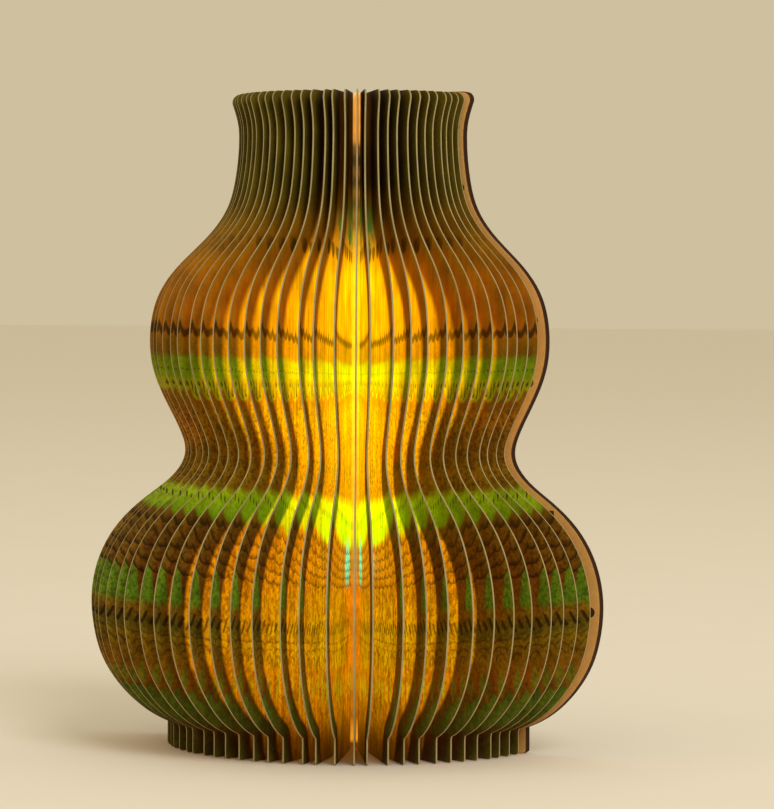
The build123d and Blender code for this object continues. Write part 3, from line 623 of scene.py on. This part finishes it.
# A little light creeps through the glued margin too.
inside = add_node(tree, "ShaderNodeMapRange", {"Value": inside, "To Min": 0.065, "To Max": 1.0})
upward = add_node(tree, "ShaderNodeValToRGB", {0: height_share})
paint_ramp(
    upward.color_ramp,
    [(0.0, 0.1), (0.03, 0.2), (0.06, 0.5), (0.1, 0.7), (0.2, 0.85), (0.42, 1.0), (0.72, 1.05), (0.78, 0.75),
     (0.82, 0.25), (0.86, 0.06)],
)
# Streaks run up the paper, where the two sheets stand closer or further apart.
streak_at = add_node(tree, "ShaderNodeVectorMath", {0: page_map, 1: (420.0, 26.0, 1.0)}, operation="MULTIPLY")
streaks = add_node(
    tree, "ShaderNodeTexNoise", {"Vector": streak_at, "W": number, "Scale": 1.0, "Detail": 3.0},
    noise_dimensions="4D",
)
streaks = add_node(
    tree, "ShaderNodeMapRange",
    {"Value": streaks, "From Min": 0.3, "From Max": 0.7, "To Min": 0.6, "To Max": 1.4},
)
dimmed = add_node(
    tree, "ShaderNodeMapRange",
    {"Value": tone, "From Min": 0.07, "From Max": 0.95, "To Min": 0.3, "To Max": 1.15},
)
strength = overlap(inside, upward, streaks, dimmed)
fibres = add_node(tree, "ShaderNodeTexNoise", {"Vector": spot, "Scale": 2200.0, "Detail": 2.0})
bump = add_node(tree, "ShaderNodeBump", {"Height": fibres, "Strength": 0.25, "Distance": 0.00005})
set_inputs(shader, {"Base Color": colour, "Emission Color": lit, "Emission Strength": strength, "Normal": bump})

# %% The cut edge of a leaf
# Four layers of cream paper, cut clean: the layers are lines along the edge, drawn wider than real ones to show.
cut_paper, tree, shader = new_material("cut_cream_paper", **{"Roughness": 0.8, "IOR": 1.45})
spot = add_node(tree, "ShaderNodeTexCoord").outputs["Object"]
layers = add_node(tree, "ShaderNodeTexNoise", {"Vector": spot, "Scale": 900.0, "Detail": 3.0, "Roughness": 0.7})
stain = add_node(tree, "ShaderNodeTexNoise", {"Vector": spot, "Scale": 60.0})
cream = add_node(tree, "ShaderNodeMix", {0: layers, 6: linear("948660"), 7: linear("c0b080")}, data_type="RGBA")
stain = add_node(tree, "ShaderNodeMapRange", {"Value": stain, "From Min": 0.4, "From Max": 0.7, "To Max": 0.5})
cream = add_node(tree, "ShaderNodeMix", {0: stain, 6: cream, 7: linear("7a7648")}, data_type="RGBA")
bump = add_node(tree, "ShaderNodeBump", {"Height": layers, "Strength": 0.3, "Distance": 0.0001})
set_inputs(shader, {"Base Color": cream, "Normal": bump})

# %% [markdown]
# ## Thirty-four leaves
# The outline goes in as a chain of edges, and the tree gives back one finished leaf. Each leaf is a plain mesh of
# its own, because each swings about its own hinge line. It takes over from its CAD node, which stays
# behind the scenes for collision.

# %% Make the leaves
rim_mesh = bpy.data.meshes.new("leaf rim")
rim_mesh.from_pydata([(x, 0, z) for x, z in outline], [(i, i + 1) for i in range(len(outline) - 1)], [])
for i, page in enumerate(pages):
    leaf = grown(
        f"leaf_{page[-2:]}", rim_mesh, leaf_tree,
        {
            "Share": float(shares[page]), "Hinge Reach": float(hinge_reach), "Fan Offset": float(fan_offset),
            "Inner Reach": float(inner_reach), "Thickness": page_thickness, "Columns": 14, "Number": 7.3 * (i + 1),
            "Print": printed, "Cut Edge": cut_paper,
        },
    )
    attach(leaf, page + "_body")
    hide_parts(page)
print("leaves", len(pages), "with", len(leaf.data.polygons), "faces each")

# %% [markdown]
# ## The pleated paper behind the leaves
# Between the inner edges of two leaves the real lamp has a narrow pleat of thin paper, which closes the
# valley and glows. When the book opens right round, the valleys are three times as wide as when it is shut,
# so a pleat has spare width that folds away. Here each pleat is a narrow strip that rides on one leaf and slips
# behind the next one, like the slats of a blind, so it closes the valley at every opening.

# %% The finish of the pleats
chip_pitch = 0.00975
thin_paper, tree, shader = new_material("thin_translucent_paper", **{"Roughness": 0.7, "IOR": 1.45})
spot = add_node(tree, "ShaderNodeTexCoord").outputs["Object"]
at = add_node(tree, "ShaderNodeSeparateXYZ", {0: spot})
fibres = add_node(tree, "ShaderNodeTexNoise", {"Vector": spot, "Scale": 500.0, "Detail": 3.0})
cream = add_node(tree, "ShaderNodeMix", {0: fibres, 6: linear("d8b878"), 7: linear("f4e2b4")}, data_type="RGBA")
# The chips of the light bar stand 9.75 mm apart, and each one shows as a soft bright patch.
chips = add_node(tree, "ShaderNodeMath", {0: at.outputs["Z"], 1: 2 * np.pi / chip_pitch}, operation="MULTIPLY")
chips = add_node(tree, "ShaderNodeMath", {0: chips}, operation="COSINE")
height = add_node(tree, "ShaderNodeMath", {0: at.outputs["Z"], 1: 1000 / vase_mm}, operation="MULTIPLY")
bright = add_node(tree, "ShaderNodeValToRGB", {0: height})
paint_ramp(
    bright.color_ramp,
    [(0.0, 0.0), (0.008, 0.0), (0.014, 0.9), (0.05, 0.22), (0.3, 0.3), (0.42, 0.6), (0.5, 0.9), (0.74, 0.9),
     (0.8, 0.12), (0.915, 0.03), (0.925, 0.7), (1.0, 0.75)],
)
warmth = add_node(tree, "ShaderNodeValToRGB", {0: height})
paint_ramp(
    warmth.color_ramp,
    [(0.0, "f0a020"), (0.05, "e09000"), (0.3, "e49400"), (0.4, "ffc800"), (0.6, "ffc800"), (0.76, "ffb400"),
     (0.92, "f09c30"), (1.0, "f0a438")],
)
bright = add_node(tree, "ShaderNodeMath", {0: chips, 1: 0.06, 2: bright}, operation="MULTIPLY_ADD")
bump = add_node(tree, "ShaderNodeBump", {"Height": fibres, "Strength": 0.3, "Distance": 0.0001})
set_inputs(shader, {"Base Color": cream, "Emission Color": warmth, "Emission Strength": bright, "Normal": bump})

# %% The tree of a pleat
tree, given = new_tree(
    "Valley pleat",
    {
        "Share": "Float", "Side": "Float", "Hinge Reach": "Float", "Fan Offset": "Float", "Reach": "Float",
        "Width": "Float", "Height": "Float", "Thickness": "Float", "Tilt": "Float", "Paper": "Material",
    },
)
inside_leaf = 0.0003
grid = add_node(tree, "GeometryNodeMeshGrid", {"Size X": 1.0, "Size Y": 1.0, "Vertices X": 5, "Vertices Y": 60})
place = add_node(tree, "ShaderNodeSeparateXYZ", {0: add_node(tree, "GeometryNodeInputPosition")})
over = add_node(tree, "ShaderNodeMath", {0: place.outputs["X"], 1: 0.5}, operation="ADD")
sine = add_node(tree, "ShaderNodeMath", {0: given["Tilt"]}, operation="SINE")
cosine = add_node(tree, "ShaderNodeMath", {0: given["Tilt"]}, operation="COSINE")
# Across the valley from just inside its leaf, and back towards the light bar by the tilt.
sideways = add_node(tree, "ShaderNodeMath", {0: over, 1: given["Width"]}, operation="MULTIPLY")
back_by = add_node(tree, "ShaderNodeMath", {0: sideways, 1: sine}, operation="MULTIPLY")
reach = add_node(tree, "ShaderNodeMath", {0: given["Reach"], 1: back_by}, operation="SUBTRACT")
side_by = add_node(tree, "ShaderNodeMath", {0: sideways, 1: cosine, 2: -inside_leaf}, operation="MULTIPLY_ADD")
start = add_node(tree, "ShaderNodeMath", {0: given["Share"], 1: given["Fan Offset"]}, operation="MULTIPLY")
side_by = add_node(tree, "ShaderNodeMath", {0: side_by, 1: given["Side"], 2: start}, operation="MULTIPLY_ADD")
up_by = add_node(tree, "ShaderNodeMath", {0: place.outputs["Y"], 1: 0.5}, operation="ADD")
up_by = add_node(tree, "ShaderNodeMath", {0: up_by, 1: given["Height"]}, operation="MULTIPLY")
spot_at = add_node(tree, "ShaderNodeCombineXYZ", {"X": reach, "Y": side_by, "Z": up_by})
mesh = add_node(tree, "GeometryNodeSetPosition", {"Geometry": grid, "Position": spot_at})
pushed = add_node(
    tree, "GeometryNodeExtrudeMesh",
    {"Mesh": mesh, "Offset Scale": given["Thickness"], "Individual": False}, mode="FACES",
)
closed = turned_and_joined(tree, mesh, pushed)
mesh = swung(tree, closed, given)
mesh = add_node(tree, "GeometryNodeRealizeInstances", {"Geometry": mesh})
mesh = add_node(tree, "GeometryNodeSetMaterial", {"Geometry": mesh, "Material": given["Paper"]})
add_node(tree, "NodeGroupOutput", {0: mesh})
pleat_tree = tree
print("pleat tree of", len(tree.nodes), "nodes")

# %% Make the pleats
spare_width, behind_leaf, pleat_thickness, pleat_tilt = 0.0003, 0.0002, 0.00008, np.radians(11)
first_depth, less_each = 0.0006, 0.0001
holders = [("left_cover_body", -1.0)] + [(p + "_body", shares[p]) for p in pages] + [("right_cover_body", 1.0)]
# The first three quarters of the pleats ride on the leaf at their left, and the rest on the leaf at their right.
share_on_left = 0.74
last_on_left = round(share_on_left * len(pages))
for i in range(len(holders) - 1):
    on_left = i <= last_on_left
    body, share = holders[i if on_left else i + 1]
    step = holders[i + 1][1] - holders[i][1]
    # The valley when the book is folded right back, and the spare width.
    width = inner_reach * np.sin(np.pi * step) + fan_offset * step + hinge_reach * step * np.cos(np.pi * share)
    width += spare_width
    # The pleats on the right lean the other way, and lie deeper so that both kinds shut behind each other.
    deeper = 0.0 if on_left else max(0.0, first_depth - less_each * (i - last_on_left - 1))
    pleat = grown(
        f"pleat_{i:02d}", rim_mesh, pleat_tree,
        {
            "Share": float(share), "Side": 1.0 if on_left else -1.0, "Hinge Reach": float(hinge_reach),
            "Fan Offset": float(fan_offset), "Reach": float(inner_reach - behind_leaf - deeper),
            "Width": float(width), "Height": float(page_height), "Thickness": pleat_thickness,
            "Tilt": float(pleat_tilt), "Paper": thin_paper,
        },
    )
    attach(pleat, body)
    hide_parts("spine_bellows")
print("pleats", len(holders) - 1)

# %% [markdown]
# ## The cloth hinges
# A strip of book cloth joins each cover to the light bar. It has to be as long as the way it goes when
# the book is shut, straight from the bar's back corner to the cover's edge, and it lies in a soft loop when the
# book is open. Each point of the strip has a weight that grows along the strip, and the open
# shape is found by turning each point of the straight one back by its own weight.

# %% The line of the cloth
cloth_thickness, cloth_columns, cloth_rows = 0.0004, 33, 41
cloth_low, cloth_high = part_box("right_hinge_cloth")
bar_corner = np.array([cloth_low.x, cloth_high.y])
cover_corner = np.array([cloth_high.x, cloth_high.y])
pivot = np.array([hinge_reach, 0.0])


def turned(point, angle):
    """A point turned about the right hinge line."""
    c, s = np.cos(angle), np.sin(angle)
    x, y = point - pivot
    return pivot + np.array([c * x - s * y, s * x + c * y])


# The share of the way across at which a point has each weight, by a smooth step.
across_share = np.linspace(0, 1, 400)
weight_there = across_share**2 * (3 - 2 * across_share)
far_end = turned(cover_corner, -np.pi / 2)
line = [bar_corner]
for weight in np.linspace(0, 1, cloth_columns)[1:-1]:
    x = bar_corner[0] + (cover_corner[0] - bar_corner[0]) * np.interp(weight, weight_there, across_share)
    tries = [turned(bar_corner + (far_end - bar_corner) * s, weight * np.pi / 2) for s in np.linspace(0, 1, 800)]
    line.append(min(tries, key=lambda p: abs(p[0] - x)))
line = np.array(line + [cover_corner])
along = np.concatenate([[0], np.cumsum(np.hypot(*np.diff(line, axis=0).T))])

# %% The finish of the cloth
book_cloth, tree, shader = new_material("woven_book_cloth", **{"Roughness": 0.85, "IOR": 1.5, "Sheen Weight": 0.3})
# Threads 0.5 mm apart, drawn at 0.8 mm so that they show, along the height and across it.
weave_at = add_node(tree, "ShaderNodeUVMap", uv_map="ClothMap")
warp, weft = (
    add_node(
        tree, "ShaderNodeTexWave", {"Vector": weave_at, "Scale": 200.0, "Distortion": 0.4}, bands_direction=axis
    ).outputs["Fac"]
    for axis in "XY"
)
weave = add_node(tree, "ShaderNodeMath", {0: warp, 1: weft}, operation="MULTIPLY")
thread = add_node(tree, "ShaderNodeMix", {0: weave, 6: linear("1c0f08"), 7: linear("4a2e1c")}, data_type="RGBA")
bump = add_node(tree, "ShaderNodeBump", {"Height": weave, "Strength": 0.5, "Distance": 0.0002})
set_inputs(shader, {"Base Color": thread, "Normal": bump})
print("cloth material of", len(tree.nodes), "nodes")

# %% Make the cloths
heights = np.linspace(cloth_low.z, cloth_high.z, cloth_rows)
for side, sign in (("right", 1), ("left", -1)):
    points = [(sign * x, y, z) for z in heights for x, y in line]
    faces = [
        (k, k + 1, k + 1 + cloth_columns, k + cloth_columns)[::sign]
        for j in range(cloth_rows - 1)
        for k in range(j * cloth_columns, (j + 1) * cloth_columns - 1)
    ]
    mesh = bpy.data.meshes.new(f"{side}_cloth")
    mesh.from_pydata(points, [], faces)
    layer = mesh.uv_layers.new(name="ClothMap")
    for loop in mesh.loops:
        layer.data[loop.index].uv = (along[loop.vertex_index % cloth_columns], points[loop.vertex_index][2])
    mesh.materials.append(book_cloth)
    mesh.polygons.foreach_set("use_smooth", [True] * len(mesh.polygons))
    cloth = bpy.data.objects.new(f"{side}_cloth", mesh)
    bpy.context.scene.collection.objects.link(cloth)
    skin = cloth.modifiers.new("Thickness", "SOLIDIFY")
    skin.thickness, skin.offset = cloth_thickness, 0.0
    bpy.context.view_layer.update()
    cloth.data = bpy.data.meshes.new_from_object(cloth.evaluated_get(bpy.context.evaluated_depsgraph_get()))
    cloth.modifiers.remove(skin)
    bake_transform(cloth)
    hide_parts(f"{side}_hinge_cloth")

# %% [markdown]
# ## Finishes of the CAD parts
# The covers, the light bar and all that is inside it keep their CAD shapes. Each gets a finish named for what
# the real one is made of. They share one helper, which lays a colour between two tones by a pattern and
# uses the same pattern for the bump.


# %% Finishes
def finish(name, nodes, pattern_of, dark, light, bump_strength=0.2, bump_mm=0.05, **plain):
    """Gives CAD nodes a material whose colour and bump follow one pattern, and returns its shader."""
    material, tree, shader = new_material(name, **plain)
    pattern = pattern_of(tree, add_node(tree, "ShaderNodeTexCoord").outputs["Object"])
    colour = add_node(tree, "ShaderNodeMix", {0: pattern, 6: linear(dark), 7: linear(light)}, data_type="RGBA")
    bump = add_node(
        tree, "ShaderNodeBump", {"Height": pattern, "Strength": bump_strength, "Distance": bump_mm / 1000}
    )
    set_inputs(shader, {"Base Color": colour, "Normal": bump})
    for node in nodes:
        mesh = frame["nodes"][node].data
        mesh.materials.clear()
        mesh.materials.append(material)
    return shader


def grain_of(stretch=None, **settings):
    """A pattern of noise, drawn out along the axes where its stretch is below 1."""

    def pattern(tree, spot):
        if stretch:
            spot = add_node(tree, "ShaderNodeMapping", {"Vector": spot, "Scale": stretch})
        return add_node(tree, "ShaderNodeTexNoise", {"Vector": spot, **settings})

    return pattern


def chip_patches(tree, spot):
    """A bright patch over each LED chip, 10.14 mm apart."""
    at = add_node(tree, "ShaderNodeSeparateXYZ", {0: spot})
    wave = add_node(tree, "ShaderNodeMath", {0: at.outputs["Z"], 1: 2 * np.pi / 0.01014}, operation="MULTIPLY")
    wave = add_node(tree, "ShaderNodeMath", {0: wave}, operation="COSINE")
    return add_node(tree, "ShaderNodeMapRange", {"Value": wave, "From Min": -1.0, "From Max": 1.0})


def pads(tree, spot):
    """Rows of pads with thin gaps."""
    upright = add_node(tree, "ShaderNodeMapping", {"Vector": spot, "Rotation": (np.pi / 2, 0.0, 0.0)})
    return add_node(
        tree, "ShaderNodeTexBrick",
        {"Vector": upright, "Scale": 180.0, "Color1": (1, 1, 1, 1), "Color2": (0.85, 0.85, 0.85, 1),
         "Mortar": (0, 0, 0, 1), "Mortar Size": 0.04},
    ).outputs["Fac"]


def moulded_grain(tree, spot):
    """A spark-eroded grain of about 0.3 mm."""
    return add_node(tree, "ShaderNodeTexVoronoi", {"Vector": spot, "Scale": 3300.0})


cloudy = grain_of(Scale=900.0, Detail=3.0)
wrinkles = grain_of(stretch=(0.4, 0.4, 1.0), Scale=300.0, Detail=2.0)

# Cover boards: hardboard cut by laser and stained, so the cut edge is nearly black-brown and the faces show fibres.
shader = finish(
    "stained_hardboard", ["right_cover", "left_cover"],
    grain_of(stretch=(1.0, 1.0, 0.12), Scale=420.0, Detail=5.0, Roughness=0.7), "4a2c14", "7a4e26", 0.3, 0.1,
    **{"Roughness": 0.7, "Specular IOR Level": 0.1},
)
tree = shader.id_data
facing_out = add_node(tree, "ShaderNodeSeparateXYZ", {0: add_node(tree, "ShaderNodeTexCoord").outputs["Normal"]})
flat_face = add_node(tree, "ShaderNodeMath", {0: facing_out.outputs["Y"]}, operation="ABSOLUTE")
flat_face = add_node(tree, "ShaderNodeMapRange", {"Value": flat_face, "From Min": 0.6, "From Max": 0.9})
grain = shader.inputs["Base Color"].links[0].from_socket
burnt = add_node(tree, "ShaderNodeMix", {0: flat_face, 6: linear("30160a"), 7: grain}, data_type="RGBA")
set_inputs(shader, {"Base Color": burnt})
# Lining: tan laid paper with fine fibres.
finish(
    "tan_lining_paper", ["right_cover_lining", "left_cover_lining"],
    grain_of(Scale=350.0, Detail=4.0, Roughness=0.65), "c08c44", "e0b46c", 0.3, 0.05, Roughness=0.75, IOR=1.45,
)
# Nickel plate on magnets, screws and the socket: a metal, a little cloudy.
finish(
    "nickel_plate", ["right_cover_magnets", "left_cover_magnets", "cap_screws", "usb_c_socket"], cloudy,
    "6a665e", "a8a298", 0.1, 0.02, Metallic=1.0, Roughness=0.32,
)
# Anodised aluminium: drawing lines run up the channel, 0.3 mm apart.
finish(
    "anodised_aluminium", ["bar_channel"], grain_of(stretch=(1.0, 1.0, 0.004), Scale=3300.0, Detail=2.0),
    "a6a6a6", "cfcfd0", 0.15, 0.02, Metallic=1.0, Roughness=0.38,
)
# Milky diffuser: frosted acrylic, lit by the chips behind it.
shader = finish(
    "frosted_acrylic", ["light_diffuser"], chip_patches, "f0dcae", "fff0d0", 0.02, 0.02, Roughness=0.45, IOR=1.49
)
set_inputs(shader, {"Emission Color": linear("ffb040"), "Emission Strength": 2.5})
# Circuit boards: white solder mask with rows of tinned pads.
finish(
    "white_solder_mask", ["led_board", "charge_board", "switch_board"], pads, "eceae2", "b8b0a0", 0.2, 0.03,
    Roughness=0.4, IOR=1.55,
)
# LED chips: yellow phosphor in a white cup.
shader = finish("yellow_phosphor", ["led_chips"], cloudy, "e8a820", "ffd860", 0.1, 0.02, Roughness=0.35, IOR=1.5)
set_inputs(shader, {"Emission Color": linear("ffb848"), "Emission Strength": 6.0})
# Shrink sleeve of the cells: smooth blue-green film with faint wrinkles round the cell.
finish("shrink_sleeve", ["battery_cells"], wrinkles, "143c4c", "1f5870", 0.2, 0.05, Roughness=0.25, IOR=1.5)
# Moulded ABS of the caps, the button and the holder.
finish(
    "moulded_black_abs",
    ["top_cap", "bottom_cap", "power_button", "switch_plunger", "tact_switch", "battery_holder"],
    moulded_grain, "0c0c0c", "1e1d1c", 0.35, 0.03, Roughness=0.5, IOR=1.53,
)
# Silicone insulation of the leads: dark red, slightly mottled.
finish("silicone_insulation", ["leads"], wrinkles, "5a0a0a", "7c1412", 0.1, 0.02, Roughness=0.5, IOR=1.43)
print("finishes", len([m for m in bpy.data.materials if m.users]))

# %% [markdown]
# ## Floor, background and light
# The lamp stands on a plain pale floor that runs to the horizon, in front of an even background of the same
# beige, with soft light from the upper right, as in the photograph. The floor and the lights are far wider
# than the room that the camera needs when it goes round the lamp.

# %% Stage
floor_reach, floor_level = 40, -0.0003
floor_mesh = bpy.data.meshes.new("floor")
corners = [(x * floor_reach, y * floor_reach, floor_level) for x, y in ((-1, -1), (1, -1), (1, 1), (-1, 1))]
floor_mesh.from_pydata(corners, [], [(0, 1, 2, 3)])
floor = bpy.data.objects.new("floor", floor_mesh)
bpy.context.scene.collection.objects.link(floor)
plaster, tree, shader = new_material("pale_plaster", **{"Roughness": 0.9, "Specular IOR Level": 0.1})
spot = add_node(tree, "ShaderNodeTexCoord").outputs["Object"]
mottle = add_node(tree, "ShaderNodeTexNoise", {"Vector": spot, "Scale": 14.0, "Detail": 3.0})
beige = add_node(tree, "ShaderNodeMix", {0: mottle, 6: linear("f8f6f2"), 7: linear("fbf9f6")}, data_type="RGBA")
set_inputs(shader, {"Base Color": beige})
floor_mesh.materials.append(plaster)
floor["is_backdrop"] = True

world = bpy.data.worlds.new("soft room")
world.use_nodes = True
world.node_tree.nodes.clear()
sky = add_node(world.node_tree, "ShaderNodeBackground", {"Color": linear("cfc09f"), "Strength": 1.0})
add_node(world.node_tree, "ShaderNodeOutputWorld", {"Surface": sky})
bpy.context.scene.world = world

for name, place, size, power in (
    ("window", (3.4, -3.0, 3.6), 2.4, 125.0),
    ("fill", (-4.2, -3.4, 2.2), 3.0, 12.0),
):
    light = bpy.data.objects.new(name, bpy.data.lights.new(name, "AREA"))
    light.data.size, light.data.energy, light.data.color = size, power, (1.0, 0.95, 0.86)
    light.location = place
    light.rotation_mode = "QUATERNION"
    light.rotation_quaternion = (Vector(place) - Vector((0, 0, 0.15))).to_track_quat("Z", "Y")
    light.visible_camera = False
    bpy.context.scene.collection.objects.link(light)
print("floor", 2 * floor_reach, "m wide, and two lights")

# %% [markdown]
# ## Sizes
# What was made has to stay inside the CAD model's box, so how far it grew past that box is printed at the top and the
# bottom corner.

# %% Print how far the box grew, and finish
bpy.context.view_layer.update()
made_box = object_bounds()
for side, grew in (("top", made_box[1] - cad_box[1]), ("bottom", cad_box[0] - made_box[0])):
    print("box grew at its", side, "corner by", [round(1000 * v, 2) for v in grew], "mm")
